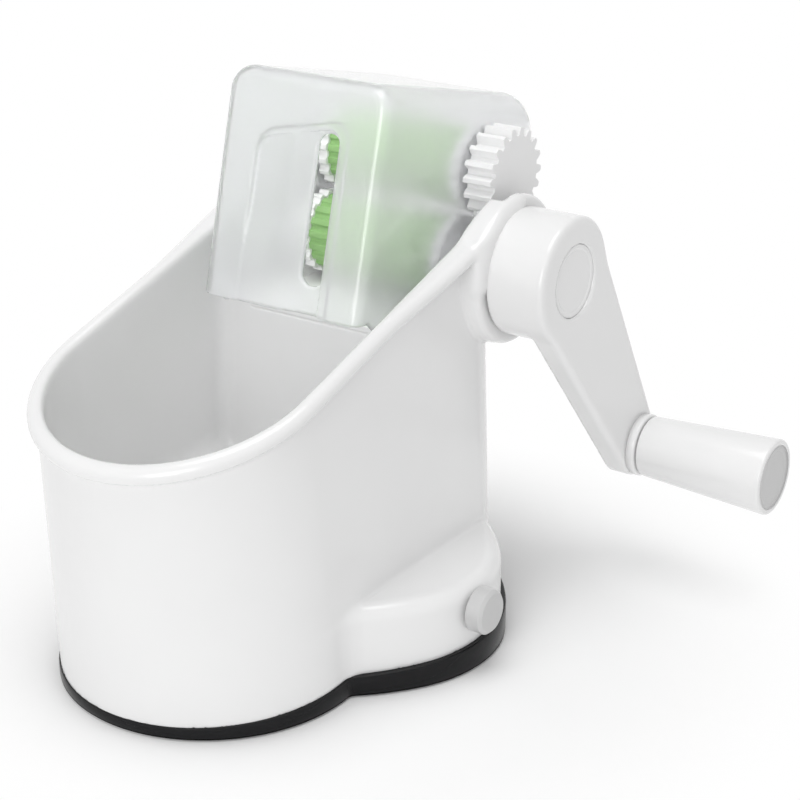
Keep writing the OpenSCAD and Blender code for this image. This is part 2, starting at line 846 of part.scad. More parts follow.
module upper_sleeve() {
  color("#5f9f45") roller_sleeve(up_axis);
}

module upper_gear_right() {
  color("white") up_gear();
}

module upper_gear_left() {
  color("white") mirror([1, 0, 0]) up_gear();
}

module crank_arm() {
  color("white") difference() {
    union() {
      xcyl(hub_r, hub_x, hub_face_x, low_axis);
      hull() {
        xcyl(hub_r - arm_inset, hub_face_x - arm_t, hub_face_x, low_axis);
        xcyl(arm_end_r, arm_end_x - arm_t, arm_end_x, handle);
      }
    }
    difference() {
      xcyl(hub_r - hub_wall, hub_x - cut, hub_x + hub_hollow, low_axis);
      xcyl(hub_tube_r, hub_x - cut, hub_x + hub_hollow, low_axis);
    }
    xcyl(shaft_r + fit_clr, hub_x - cut, shaft_end_x, low_axis);
    xcyl(crank_screw_r + hole_clr, shaft_end_x - cut, web_out_x + cut, low_axis);
    xcyl(crank_head_r + hole_clr, web_out_x, hub_face_x + cut, low_axis);
    xcyl(cap_r + fit_clr, cap_seat_x, hub_face_x + arm_out + cut, low_axis);
    xcyl(pin_r + fit_clr, arm_end_x - arm_t + pin_seat, arm_end_x + cut, handle);
  }
}

module crank_cap() {
  color("whitesmoke") xcyl(cap_r, cap_seat_x, hub_face_x, low_axis);
}

module crank_screw() {
  color("silver") difference() {
    union() {
      xcyl(crank_head_r, web_out_x, web_out_x + crank_head_h, low_axis);
      xcyl(crank_screw_r - fit_clr, shaft_end_x - crank_screw_l, web_out_x + cut, low_axis);
    }
    for (t = [0, 90])
      translate([web_out_x + crank_head_h, low_axis[0], low_axis[1]]) rotate([t, 0, 0])
        box(-crank_head_h / 2, cut, -crank_screw_r, crank_screw_r, -crank_screw_r / 4, crank_screw_r / 4);
  }
}

module handle_collar() {
  color("white") xtube(collar_r, pin_r + fit_clr, arm_end_x, arm_end_x + collar_t, handle);
}

module handle_pin() {
  color("silver") {
    xcyl(pin_r, arm_end_x - arm_t + pin_seat, pin_head_x + cut, handle);
    xcyl(pin_head_r, pin_head_x, pin_head_x + pin_head_h, handle);
  }
}

module left_cap() {
  color("white") difference() {
    union() {
      xcyl(left_cap_r, -left_end_x, -hub_x, low_axis);
      xcyl(left_flange_r, -left_end_x, -left_end_x + left_flange_t, low_axis);
    }
    xcyl(shaft_r + fit_clr, -left_end_x + left_seat, -hub_x + cut, low_axis);
  }
}

module handle_grip() {
  color("white") difference() {
    translate([grip_x, handle[0], handle[1]]) rotate([0, 90, 0])
      cylinder(r1 = grip_small_r, r2 = grip_big_r, h = grip_l);
    xcyl(pin_r + run_clr, grip_x - cut, grip_end_x + cut, handle);
    xcyl(pin_head_r + cut, pin_head_x - grip_play, grip_end_x + cut, handle);
    xcyl(grip_cap_r + fit_clr, grip_cap_x, grip_end_x + cut, handle);
  }
}

module grip_end_cap() {
  color("whitesmoke") xcyl(grip_cap_r, grip_cap_x, grip_end_x, handle);
}

module suction_knob() {
  knob_c = 1;
  color("whitesmoke") difference() {
    union() {
      xcyl(knob_r, knob_x, knob_x + knob_t - knob_c, [knob_y, knob_z]);
      translate([knob_x + knob_t - knob_c, knob_y, knob_z]) rotate([0, 90, 0])
        cylinder(r1 = knob_r, r2 = knob_r - knob_c, h = knob_c);
    }
    xcyl(cam_shaft_r + fit_clr, knob_x - cut, cam_end_x, [knob_y, knob_z]);
  }
}

// The cam rises evenly over a quarter turn: its flat follower lifts by the same amount each degree
cam_steps = 12;
cam_turn = 90;
cam_rate = cam_lift / cam_turn;
function cam_at(a) = cam_r + cam_rate * (cam_turn - a);
cam_points = concat(
  [for (i = [0 : cam_steps]) let (a = cam_turn * i / cam_steps)
    cam_at(a) * [cos(a), sin(a)] + cam_rate * 180 / PI * [sin(a), -cos(a)]],
  [for (i = [1 : 2 * cam_steps]) let (a = cam_turn + 180 * i / (2 * cam_steps)) polar(cam_r, a)]
);

module cam_shaft() {
  color("silver") {
    xcyl(cam_shaft_r, cam_tail_x, cam_end_x, [knob_y, knob_z]);
    along_x(-cam_w / 2, cam_w / 2) translate([knob_y, knob_z]) polygon(cam_points);
  }
}

module suction_stem() {
  color("gainsboro") {
    translate([0, knob_y, stem_foot]) cylinder(r = stem_r, h = window_low - yoke_t - stem_foot + cut);
    translate([0, knob_y, window_top + cut]) cylinder(r = stem_r, h = stem_top - window_top - cut);
    difference() {
      box(-yoke_w / 2, yoke_w / 2, knob_y - yoke_hw - yoke_t, knob_y + yoke_hw + yoke_t,
        window_low - yoke_t, window_top + yoke_t);
      box(-yoke_w, yoke_w, knob_y - yoke_hw, knob_y + yoke_hw, window_low, window_top);
    }
  }
}

body_shell();
base_ring();
bottom_plate();
base_screws();
suction_cup();
feed_chute();
roller_cover();
cover_bushes();
ear_bushes();
lower_shaft();
lower_core();
lower_sleeve();
lower_gear_right();
lower_gear_left();
crank_arm();
crank_cap();
crank_screw();
handle_collar();
handle_pin();
left_cap();
upper_shaft();
upper_core();
upper_sleeve();
upper_gear_right();
upper_gear_left();
handle_grip();
grip_end_cap();
suction_knob();
cam_shaft();
suction_stem();
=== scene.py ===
import json
import math

import bpy
import numpy as np
from mathutils import Matrix, Vector


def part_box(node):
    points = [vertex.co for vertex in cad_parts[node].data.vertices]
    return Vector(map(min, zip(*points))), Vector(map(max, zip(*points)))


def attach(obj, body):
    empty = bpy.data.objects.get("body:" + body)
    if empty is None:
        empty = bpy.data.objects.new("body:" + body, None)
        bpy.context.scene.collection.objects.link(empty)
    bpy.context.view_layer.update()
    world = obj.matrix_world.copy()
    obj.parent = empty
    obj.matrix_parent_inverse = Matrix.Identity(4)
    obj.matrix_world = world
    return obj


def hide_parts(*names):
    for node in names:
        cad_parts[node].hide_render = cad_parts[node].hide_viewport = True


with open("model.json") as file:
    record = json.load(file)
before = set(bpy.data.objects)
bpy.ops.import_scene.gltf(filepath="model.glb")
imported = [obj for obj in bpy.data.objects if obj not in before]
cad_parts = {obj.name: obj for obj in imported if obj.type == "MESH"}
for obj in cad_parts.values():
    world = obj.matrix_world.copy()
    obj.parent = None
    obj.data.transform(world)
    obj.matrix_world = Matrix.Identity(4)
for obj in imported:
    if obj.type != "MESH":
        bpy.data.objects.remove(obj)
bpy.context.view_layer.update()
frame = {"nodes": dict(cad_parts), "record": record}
nodes = frame["nodes"]
MM = 0.001


def turned(node):
    """Ends along x, radius and axis (y, z) of a CAD node that is turned about an axis along x."""
    low, high = [np.array(corner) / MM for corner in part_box(node)]
    return low[0], high[0], (high[2] - low[2]) / 2, (low[1:] + high[1:]) / 2


# The two roller axes, the handle's and the knob's, from the frame
LOW = turned("lower_shaft")[3]
UP = turned("upper_shaft")[3]
HANDLE = turned("handle_pin")[3]
KNOB = turned("suction_knob")[3]
SHAFT_R = turned("lower_shaft")[2]


# Distance fields: negative inside
def both(a, b, r):
    """Where a and b overlap, with its edge rounded by r."""
    if r <= 0:
        return np.maximum(a, b)
    return np.minimum(-r, np.maximum(a, b)) + np.hypot(np.maximum(r + a, 0), np.maximum(r + b, 0))


def join(a, b, r):
    """a and b together, with a fillet r where they meet."""
    if r <= 0:
        return np.minimum(a, b)
    return np.maximum(r, np.minimum(a, b)) - np.hypot(np.maximum(r - a, 0), np.maximum(r - b, 0))


def less(a, b, r):
    """a without b, with the new edge rounded by r."""
    return both(a, -b, r)


def axle(y, z, at, r):
    """A round bar along x."""
    return np.hypot(y - at[0], z - at[1]) - r


def span(v, lo, hi):
    """A slab from lo to hi."""
    return np.abs(v - (lo + hi) / 2) - (hi - lo) / 2


def ramp(v, start, end):
    """Rises smoothly from 0 at start to 1 at end."""
    t = np.clip((v - start) / (end - start), 0, 1)
    return t * t * (3 - 2 * t)


def over(y, z, at_z, slope):
    """Height over a plane that rises to the rear from at_z at the origin."""
    return (z - at_z - math.tan(slope) * y) * math.cos(slope)


def nets(field, low, high, h):
    """Quads on the zero level of field, on a grid of step h."""
    axes = [np.arange(a, b + h, h) for a, b in zip(low, high)]
    grid = np.meshgrid(*axes, indexing="ij")
    f = field(*grid).astype(np.float64)
    inside = f < 0
    n = np.array(f.shape)
    corners = [(i, j, k) for i in (0, 1) for j in (0, 1) for k in (0, 1)]
    count = np.zeros(tuple(n - 1), dtype=np.int8)
    for i, j, k in corners:
        count += inside[i:n[0] - 1 + i, j:n[1] - 1 + j, k:n[2] - 1 + k]
    cells = np.argwhere((count > 0) & (count < len(corners)))
    index = -np.ones(tuple(n - 1), dtype=np.int64)
    index[tuple(cells.T)] = np.arange(len(cells))
    total = np.zeros((len(cells), 3))
    hits = np.zeros(len(cells))
    for a in corners:
        for axis in range(3):
            if a[axis]:
                continue
            b = list(a)
            b[axis] = 1
            fa = f[tuple((cells + a).T)]
            fb = f[tuple((cells + b).T)]
            cross = (fa < 0) != (fb < 0)
            t = np.where(cross, fa / np.where(cross, fa - fb, 1.0), 0.0)
            p = np.tile(np.array(a, float), (len(cells), 1))
            p[:, axis] = t
            total += p * cross[:, None]
            hits += cross
    verts = np.array(low) + (cells + total / hits[:, None]) * h
    quads = []
    for axis in range(3):
        lo = [slice(None)] * 3
        hi = [slice(None)] * 3
        lo[axis] = slice(0, -1)
        hi[axis] = slice(1, None)
        a = inside[tuple(lo)]
        b = inside[tuple(hi)]
        edges = np.argwhere(a != b)
        u, v = [(1, 2), (2, 0), (0, 1)][axis]
        ok = (edges[:, u] > 0) & (edges[:, v] > 0) & (edges[:, u] < n[u] - 1) & (edges[:, v] < n[v] - 1)
        edges = edges[ok]
        du = np.zeros(3, int)
        dv = np.zeros(3, int)
        du[u] = 1
        dv[v] = 1
        ring = [edges - du - dv, edges - dv, edges, edges - du]
        q = np.stack([index[tuple(c.T)] for c in ring], axis=1)
        flip = ~a[tuple(edges.T)]
        q[flip] = q[flip][:, ::-1]
        quads.append(q)
    return verts, np.concatenate(quads)


# How points are moved onto a field's surface, in millimetres
SETTLE_ROUNDS = 3
PROBE = 0.05
LONGEST_STEP = 0.5
LEAST_SLOPE_SQUARED = 0.25
TINY = 1e-9


def settle(field, p):
    """Moves points onto the zero level of field."""
    for _ in range(SETTLE_ROUNDS):
        f = field(*p.T)
        g = np.zeros_like(p)
        for i in range(3):
            d = np.zeros(3)
            d[i] = PROBE
            g[:, i] = (field(*(p + d).T) - field(*(p - d).T)) / (2 * PROBE)
        g2 = np.maximum((g * g).sum(axis=1), LEAST_SLOPE_SQUARED)
        step = -(f / g2)[:, None] * g
        size = np.maximum(np.linalg.norm(step, axis=1), TINY)
        p = p + step * np.minimum(1.0, LONGEST_STEP / size)[:, None]
    return p


# Points nearer than this, in metres, are joined
WELD_GAP = 1e-6


def weld(ob):
    """Joins points that lie on each other."""
    mod = ob.modifiers.new("weld", "WELD")
    mod.merge_threshold = WELD_GAP


def mesh_piece(name, verts, faces, body, node, material):
    """A piece from millimetre points that stands for a CAD node."""
    me = bpy.data.meshes.new(name)
    me.from_pydata((np.asarray(verts) * MM).tolist(), [], [list(map(int, q)) for q in faces])
    me.update()
    me.shade_smooth()
    ob = bpy.data.objects.new(name, me)
    bpy.context.scene.collection.objects.link(ob)
    ob.data.materials.append(material)
    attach(ob, body)
    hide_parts(node)
    return ob


# Grid steps of the field pieces, and the room round them
BODY_GRID = 1.0
COVER_GRID = 0.8
CRANK_GRID = 0.85
GRID_MARGIN = 2.0


def field_piece(name, field, h, body, node, material):
    """A piece on the zero level of a field, on a grid of step h round the CAD node's box."""
    low, high = [np.array(corner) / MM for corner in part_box(node)]
    verts, quads = nets(field, low - GRID_MARGIN, high + GRID_MARGIN, h)
    verts = settle(field, verts)
    return mesh_piece(name, verts, quads, body, node, material)


def lathe_piece(name, profile, at, body, node, material, steps=96):
    """A turned piece about an axis along x; profile is a list of (x, r)."""
    verts = []
    faces = []
    m = len(profile)
    for i in range(steps):
        a = 2 * math.pi * i / steps
        for x, r in profile:
            verts.append((x, at[0] + r * math.cos(a), at[1] + r * math.sin(a)))
    for i in range(steps):
        j = (i + 1) % steps
        for k in range(m - 1):
            faces.append((i * m + k, j * m + k, j * m + k + 1, i * m + k + 1))
    ob = mesh_piece(name, verts, faces, body, node, material)
    weld(ob)
    return ob


# The most of a side that one rounded corner takes
MOST_CUT = 0.49


def rounded(points, steps=6):
    """Profile points (x, r, radius) with their corners rounded."""
    out = []
    for i, (x, y, rad) in enumerate(points):
        if rad <= 0 or i in (0, len(points) - 1):
            out.append((x, y))
            continue
        p = Vector((x, y))
        a = Vector(points[i - 1][:2]) - p
        b = Vector(points[i + 1][:2]) - p
        half = a.angle(b) / 2
        cut = min(rad / math.tan(half), a.length * MOST_CUT, b.length * MOST_CUT)
        a.normalize()
        b.normalize()
        centre = p + (a + b).normalized() * (cut / math.cos(half))
        start = p + a * cut - centre
        turn = start.angle_signed(p + b * cut - centre)
        for s in range(steps + 1):
            v = start.copy()
            v.rotate(Matrix.Rotation(-turn * s / steps, 2))
            out.append(tuple(centre + v))
    return out


# Materials
CLOUD_SCALE = 18
CLOUD_DETAIL = 3
CLOUD_BAND = (0.3, 0.7)
GLOSS_SPREAD = 0.15
SKIN_DETAIL = 2
COAT_ROUGH = 0.08
BLACK_SPECULAR = 0.2
FROST_TRANSMISSION = 0.76
FROST_IOR = 1.2


def shader(mat):
    """The material's main shader."""
    return mat.node_tree.nodes["Principled BSDF"]


def plastic(name, colour, rough, grain=0.01, grain_size=900, shade=0.03, coat=0.0, bump=0.02):
    """Moulded plastic: faint cloudy colour, uneven gloss and a fine skin."""
    mat = bpy.data.materials.new(name)
    mat.use_nodes = True
    nt = mat.node_tree
    bsdf = shader(mat)
    coords = nt.nodes.new("ShaderNodeTexCoord")
    cloud = nt.nodes.new("ShaderNodeTexNoise")
    cloud.inputs["Scale"].default_value = CLOUD_SCALE
    cloud.inputs["Detail"].default_value = CLOUD_DETAIL
    nt.links.new(coords.outputs["Object"], cloud.inputs["Vector"])
    tint = nt.nodes.new("ShaderNodeValToRGB")
    tint.color_ramp.elements[0].position = CLOUD_BAND[0]
    tint.color_ramp.elements[1].position = CLOUD_BAND[1]
    tint.color_ramp.elements[0].color = [c * (1 - shade) for c in colour] + [1]
    tint.color_ramp.elements[1].color = list(colour) + [1]
    nt.links.new(cloud.outputs["Fac"], tint.inputs["Fac"])
    nt.links.new(tint.outputs["Color"], bsdf.inputs["Base Color"])
    gloss = nt.nodes.new("ShaderNodeMapRange")
    gloss.inputs["To Min"].default_value = rough * (1 - GLOSS_SPREAD)
    gloss.inputs["To Max"].default_value = rough * (1 + GLOSS_SPREAD)
    nt.links.new(cloud.outputs["Fac"], gloss.inputs["Value"])
    nt.links.new(gloss.outputs["Result"], bsdf.inputs["Roughness"])
    fine = nt.nodes.new("ShaderNodeTexNoise")
    fine.inputs["Scale"].default_value = grain_size
    fine.inputs["Detail"].default_value = SKIN_DETAIL
    nt.links.new(coords.outputs["Object"], fine.inputs["Vector"])
    skin = nt.nodes.new("ShaderNodeBump")
    skin.inputs["Strength"].default_value = bump
    skin.inputs["Distance"].default_value = grain * MM
    nt.links.new(fine.outputs["Fac"], skin.inputs["Height"])
    nt.links.new(skin.outputs["Normal"], bsdf.inputs["Normal"])
    bsdf.inputs["Coat Weight"].default_value = coat
    bsdf.inputs["Coat Roughness"].default_value = COAT_ROUGH
    return mat


white = plastic("white_gloss", (0.86, 0.86, 0.86), rough=0.22, coat=0.3, bump=0.05)
pale = plastic("pale_plastic", (0.6, 0.6, 0.6), rough=0.3, bump=0.05)
gear_white = plastic("gear_white", (0.91, 0.91, 0.91), rough=0.35, bump=0.1)
black = plastic("black_base", (0.008, 0.008, 0.009), rough=0.22,
                shade=0.25, grain=0.03, grain_size=1500, bump=0.1)
shader(black).inputs["Specular IOR Level"].default_value = BLACK_SPECULAR
rubber = plastic("black_rubber", (0.03, 0.03, 0.032), rough=0.7, shade=0.3, grain=0.05, bump=0.4)
green = plastic("green_silicone", (0.31, 0.55, 0.21), rough=0.45,
                shade=0.18, grain=0.05, grain_size=1200, bump=0.25)
steel = plastic("steel", (0.62, 0.62, 0.61), rough=0.28,
                shade=0.12, grain=0.02, grain_size=700, bump=0.2)
shader(steel).inputs["Metallic"].default_value = 1.0
frost = plastic("frosted_cover", (0.925, 0.93, 0.94), rough=0.42,
                shade=0.01, grain=0.03, grain_size=1400, coat=1.0, bump=0.1)
shader(frost).inputs["Transmission Weight"].default_value = FROST_TRANSMISSION
shader(frost).inputs["IOR"].default_value = FROST_IOR

# Body sizes, as in the CAD source
WALL = 2.6
FOOT_R = 50.0
TAPER = 0.038
FRONT_LEAN = 0.085
BODY_REAR_Y = 104.0
CORNER_R = 23.0
RIM_Z = 107.7
RIM_SLOPE = math.radians(17)
ROLL_R = 2.7
FLOOR_Z = 40.5
FLOOR_T = 3.0
PARTITION_Y = 62.0
REAR_TOP_Z = 98.0
WALL_END_Y = 94.0
SEAT_Z = 7.0
SEAT_SLOPE = math.radians(3)
# Base outline and the housing on it
FRONT_R = 50.0
LOBE_Y = 47.0
END_X = 29.0
END_R = 44.0
END_RISE = 16.0
WAIST_R = 4.0
HOUSING_TOP = 30.0
HOUSING_IN = 1.2
HOUSING_EDGE = 5.0
HOUSING_FILLET = 1.2
# Ears, their pockets and the holes
EAR_R = 25.0
EAR_IN_X = 37.4
EAR_WEB_X = 43.6
EAR_OUT_X = turned("ear_bushes")[1]
EAR_T = 3.0
EAR_OPEN = 10.0
EAR_EDGE = 1.8
WEB_EDGE = 0.8
WEB_FILLET = 5.0
SWELL_FROM_Y = 25.0
TROUGH_EDGE = 1.4
POCKET_R = 18.6
UP_POCKET_GAP = 1.5
UP_POCKET_R = turned("upper_gear_right")[2] + UP_POCKET_GAP
BUSH_R = 6.5
KNOB_HOLE_R = 3.05
WINDOW_H = 15.0
WINDOW_X = (40.0, 46.0)
# Chute: its floor lies close under the lower roller's crowns
CHUTE_SLOPE = math.radians(1)
CHUTE_T = 2.0
CHUTE_CLR = 0.05
CHUTE_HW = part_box("feed_chute")[1].x / MM
CHUTE_GAP = 1.2
CHUTE_Z = LOW[1] - turned("lower_core")[2] - CHUTE_GAP
CHUTE_WALL_Z = 104.0
# How far cuts reach past what they cut, and the foot past its seat
BORE_LAP = 2.7
CHUTE_LAP = 1.0
SLOT_LAP = 4.0
SEAT_LAP = 0.8
# Small edges and fillets
FINE = 0.25
CRISP = 0.5
ROLL_FILLET = 0.8
TROUGH_FILLET = 1.2
WALL_END_EDGE = 1.5
WINDOW_EDGE = 1.0
BOWL_EDGE = 10.0


def outline(x, y):
    """The base: a round front lobe and an oval one, with a hollow between them."""
    ax = np.abs(x)
    front = np.hypot(x, y) - FRONT_R
    end = np.hypot(ax - END_X, y - LOBE_Y) - END_R
    dy = (END_X ** 2 - END_RISE ** 2) / (2 * END_RISE)
    ay = np.abs(y - LOBE_Y)
    wide = np.hypot(ax, ay + dy) - (END_R + END_RISE + dy)
    oval = np.where(ax / END_X < (ay + dy) / dy, wide, end)
    return join(front, oval, WAIST_R)


def body_wall(x, y, z):
    """The body's tapering outer wall."""
    ax = np.abs(x)
    hw = FOOT_R - TAPER * z
    lobe_y = -FRONT_LEAN * z
    corner_y = BODY_REAR_Y - CORNER_R
    front = np.hypot(x, y - lobe_y) - hw
    qx = ax - (hw - CORNER_R)
    qy = y - corner_y
    rear = np.hypot(np.maximum(qx, 0), np.maximum(qy, 0)) + np.minimum(np.maximum(qx, qy), 0) - CORNER_R
    return np.where(y < lobe_y, front, np.where(y < corner_y, ax - hw, rear))


def chute_hole(ax, y, z):
    """The space that the chute takes, open above."""
    floor_z = over(y - LOW[0], z, CHUTE_Z - CHUTE_T - CHUTE_CLR, CHUTE_SLOPE)
    return both(ax - CHUTE_HW - CHUTE_CLR, -floor_z, 0)


def with_ears(d, ax, y, z, rim):
    """Joins the ears to the body and cuts their pockets."""
    low = axle(y, z, LOW, 0)
    up = axle(y, z, UP, 0)
    wall_x = EAR_OUT_X - EAR_T
    deep = span(ax, EAR_WEB_X, EAR_OUT_X)
    web = both(both(LOW[0] - EAR_R - y, y - LOW[0], 0), both(LOW[1] - z, rim, 0), WEB_EDGE)
    plate = join(both(low - EAR_R, deep, EAR_EDGE), both(web, deep, WEB_EDGE), WEB_FILLET)
    trough = both(both(low - EAR_R, span(ax, EAR_IN_X, wall_x), TROUGH_EDGE), rim + EAR_OPEN, TROUGH_EDGE)
    d = join(d, plate, WEB_EDGE)
    d = join(d, trough, TROUGH_FILLET)
    d = less(d, both(low - POCKET_R, ax - wall_x, 0), CRISP)
    d = less(d, both(up - UP_POCKET_R, ax - wall_x, 0), CRISP)
    d = less(d, both(low - BUSH_R, wall_x - BORE_LAP - ax, 0), FINE)
    window = both(span(z, LOW[1] - WINDOW_H / 2, LOW[1] + WINDOW_H / 2), span(ax, *WINDOW_X), WINDOW_EDGE)
    return less(d, both(window, LOW[0] - y, 0), CRISP)


def rim_roll(wall, y, z, rim):
    """The rolled rim; it widens towards the ears, to end level with them."""
    ear_out = EAR_OUT_X - ROLL_R - FOOT_R + TAPER * z
    swell = ear_out * ramp(y, SWELL_FROM_Y, LOW[0] - EAR_R)
    return np.hypot(wall - np.clip(wall, 0, swell), rim + ROLL_R) - ROLL_R


def body_field(x, y, z):
    """The body: wall, rim, housing and ears, less its hollows and holes."""
    ax = np.abs(x)
    wall = body_wall(x, y, z)
    rim = over(y, z, RIM_Z, RIM_SLOPE)
    base = outline(x, y)
    inner = wall + WALL
    d = both(wall, rim + ROLL_R, CRISP)
    d = join(d, both(base + HOUSING_IN, z - HOUSING_TOP, HOUSING_EDGE), HOUSING_FILLET)
    d = join(d, rim_roll(wall, y, z, rim), ROLL_FILLET)
    bowl = both(both(inner, FLOOR_Z - z, BOWL_EDGE), y - PARTITION_Y, BOWL_EDGE / 2)
    behind = both(both(inner, FLOOR_Z - z, BOWL_EDGE / 2), PARTITION_Y + WALL - y, BOWL_EDGE / 4)
    above = both(both(inner, CHUTE_WALL_Z - z, 0), PARTITION_Y - WALL - y, 0)
    under = both(inner, z - FLOOR_Z + FLOOR_T, WALL)
    foot = both(base + HOUSING_IN + WALL, z - HOUSING_TOP + WALL, HOUSING_EDGE)
    for hollow in (bowl, behind, above, under, foot):
        d = less(d, hollow, CRISP)
    d = less(d, both(WALL_END_Y - y, REAR_TOP_Z - z, WALL_END_EDGE), CRISP)
    d = with_ears(d, ax, y, z, rim)
    d = less(d, both(chute_hole(ax, y, z), PARTITION_Y - CHUTE_LAP - y, 0), 0)
    d = less(d, both(axle(y, z, KNOB, KNOB_HOLE_R), -x, 0), FINE)
    return both(d, -over(y, z, SEAT_Z, SEAT_SLOPE) - SEAT_LAP, FINE)


field_piece("body_shell_skin", body_field, BODY_GRID, "body", "body_shell", white)

# Frosted cover, as in the CAD source
COVER_T = 1.9
COVER_HW = 31.7
COVER_LEAN = math.radians(14.5)
COVER_FALL = math.radians(13.1)
COVER_FRONT = (36.0, 109.8)
COVER_TOP_Z = 182.9
COVER_TOP_Y = COVER_FRONT[0] + (COVER_TOP_Z - COVER_FRONT[1]) * math.tan(COVER_LEAN)
COVER_REAR_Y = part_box("roller_cover")[1].y / MM
COVER_LIP_Z = 154.0
COVER_FOOT_Z = 104.0
COVER_STEP_Y = 12.0
HEEL_SLOPE = math.radians(15)
COVER_EDGE_R = 4.5
COVER_SIDE_R = 8.5
COVER_REAR_R = 12.0
SLOT_X = (6.0, 14.6)
SLOT_Z = (118.5, 165.5)
SLOT_R = 4.0
# The panel left of the slot: sunk at its upper left corner and along the slot, level between
PANEL_X = (-16.3, 15.0)
PANEL_TOP = 164.8
PANEL_RISE = 0.2
PANEL_R = 5.0
PANEL_LEFT_DEPTH = 1.5
PANEL_RIGHT_DEPTH = 1.9
PANEL_EDGE = 1.0
# Where the panel's depths start and end, along z and x
LEFT_FADE_Z = (118.0, 150.0)
LEFT_FADE_X = (2.0, -8.0)
RIGHT_FADE_X = (-6.0, 8.0)


def cover_front(y, z):
    """Distance in front of the cover's leaning face."""
    return -(y - COVER_FRONT[0]) * math.cos(COVER_LEAN) + (z - COVER_FRONT[1]) * math.sin(COVER_LEAN)


def cover_form(x, y, z):
    """The cover's outer form."""
    top = (y - COVER_TOP_Y) * math.sin(COVER_FALL) + (z - COVER_TOP_Z) * math.cos(COVER_FALL)
    crown = both(both(top, y - COVER_REAR_Y, COVER_REAR_R), np.abs(x) - COVER_HW, COVER_SIDE_R)
    return both(cover_front(y, z), crown, COVER_EDGE_R)


def panel_depth(x, z):
    """How far the panel is sunk in the cover's face."""
    left = PANEL_LEFT_DEPTH * ramp(z, *LEFT_FADE_Z) * ramp(x, *LEFT_FADE_X)
    right = PANEL_RIGHT_DEPTH * ramp(x, *RIGHT_FADE_X)
    return np.maximum(left, right)


def cover_field(x, y, z):
    """The cover: a thin shell with a stepped foot, a heel, a mouth, a slot and holes for the bushes."""
    out = cover_form(x, y, z)
    sunk = -(cover_front(y, z) + panel_depth(x, z))
    panel = both(both(span(x, *PANEL_X), z - PANEL_TOP - PANEL_RISE * x, PANEL_R), sunk, 0)
    d = less(less(out, panel, PANEL_EDGE), less(out + COVER_T, panel - COVER_T, CRISP), CRISP)
    front_z = COVER_FRONT[1]
    rise = front_z - COVER_FOOT_Z
    run = COVER_STEP_Y / 2
    step = (front_z - z - (y - COVER_FRONT[0] - run) * rise / run) / math.hypot(1, rise / run)
    d = both(d, np.minimum(front_z - z, np.maximum(COVER_FOOT_Z - z, step)), CRISP)
    heel = (y - COVER_REAR_Y) * math.cos(HEEL_SLOPE) - (z - COVER_LIP_Z) * math.sin(HEEL_SLOPE)
    d = both(d, np.minimum(heel, COVER_LIP_Z - z), CRISP)
    mouth = both(both(LOW[0] - y, z - COVER_LIP_Z, 0), np.abs(x) - COVER_HW + COVER_T, 0)
    d = less(d, mouth, CRISP)
    slot = both(span(x, *SLOT_X), span(z, *SLOT_Z), SLOT_R)
    d = less(d, both(slot, y - COVER_TOP_Y - SLOT_LAP, 0), CRISP)
    for at in (LOW, UP):
        d = less(d, both(axle(y, z, at, BUSH_R), COVER_HW / 2 - np.abs(x), 0), FINE)
    return d


cover_skin = field_piece("roller_cover_skin", cover_field, COVER_GRID,
                         "body", "roller_cover", frost)
# Frosted plastic lets the light in on the rollers
cover_skin.visible_shadow = False

# Crank
CAP_IN, CAP_OUT, CAP_R, _ = turned("crank_cap")
HUB_R = 21.3
HUB_X = 52.3
HUB_WALL = 3.0
HUB_HOLLOW = 9.0
HUB_TUBE_R = 8.0
ARM_R = 20.5
ARM_END_R = 11.5
ARM_T = 9.0
ARM_OUT = turned("handle_collar")[0] - CAP_OUT
ARM_EDGE = 2.2
BACK_EDGE = 0.8
HUB_EDGE = 1.3
HUB_FILLET = 1.0
LEAN_END = 1.15
CAP_GAP = 0.1


def arm_outline(y, z):
    """Two circles with their tangents, and the share of the way from hub to handle."""
    way = HANDLE - LOW
    n = math.hypot(*way)
    u = ((y - LOW[0]) * way[0] + (z - LOW[1]) * way[1]) / n
    v = np.abs((y - LOW[0]) * way[1] - (z - LOW[1]) * way[0]) / n
    b = (ARM_R - ARM_END_R) / n
    a = math.sqrt(1 - b * b)
    k = a * u - b * v
    ends = np.where(k < 0, np.hypot(u, v) - ARM_R, np.hypot(u - n, v) - ARM_END_R)
    sides = v * a + u * b - ARM_R
    return np.where((k >= 0) & (k <= a * n), sides, ends), u / n


def crank_field(x, y, z):
    """The hub and the arm, which leans out towards the handle, with the cap's seat and the hub's hollow."""
    low = axle(y, z, LOW, 0)
    hub = both(both(low - HUB_R, HUB_X - x, BACK_EDGE), x - CAP_OUT, HUB_EDGE)
    sides, share = arm_outline(y, z)
    lean = np.clip(share, 0, LEAN_END) * ARM_OUT
    arm = both(both(sides, CAP_OUT - ARM_T + lean - x, BACK_EDGE), x - lean - CAP_OUT, ARM_EDGE)
    d = join(hub, arm, HUB_FILLET)
    d = less(d, both(low - CAP_R - CAP_GAP, CAP_IN - x, 0), FINE)
    ring = both(both(low - HUB_R + HUB_WALL, HUB_TUBE_R - low, 0), x - HUB_X - HUB_HOLLOW, 0)
    d = less(d, ring, CRISP)
    return less(d, both(low - SHAFT_R, x - turned("lower_shaft")[1], 0), FINE)


field_piece("crank_arm_skin", crank_field, CRANK_GRID, "crank", "crank_arm", white)

